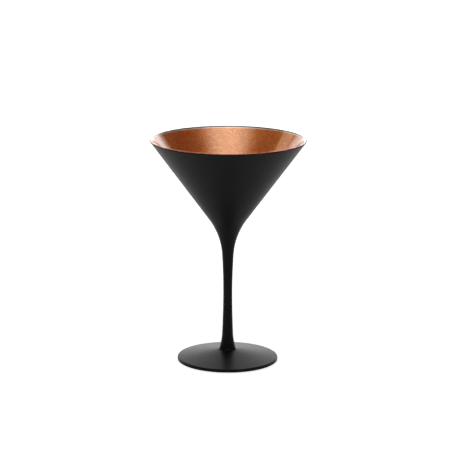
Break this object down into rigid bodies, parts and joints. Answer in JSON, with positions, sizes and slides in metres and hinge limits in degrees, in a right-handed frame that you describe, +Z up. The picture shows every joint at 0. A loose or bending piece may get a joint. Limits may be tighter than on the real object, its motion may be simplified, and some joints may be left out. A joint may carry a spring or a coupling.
{
  "type": "martini glass",
  "caption": "Stemmed cocktail glass: a straight conical bowl on a slender drawn stem and a round foot, matte black outside, with metallic bronze showing through the glass inside.",
  "frame": {"origin": "on the axis, in the plane that the foot rests on", "axes": "+Z up along the glass's axis, from the foot to the mouth; +X and +Y are any two directions across it"},
  "size_m": [0.116, 0.116, 0.1685],
  "materials": {
    "clear_glass": "clear, fire-polished",
    "bronze_lacquer": "metallic bronze lacquer with fine flake, seen through the glass",
    "black_lacquer": "matte black sprayed lacquer"
  },
  "bodies": {
    "root": {"bowl": "clear_glass", "stem": "clear_glass", "foot": "clear_glass", "bowl_bronze_coat": "bronze_lacquer", "bowl_black_coat": "black_lacquer", "stem_black_coat": "black_lacquer", "foot_black_coat": "black_lacquer"}
  },
  "joints": []
}
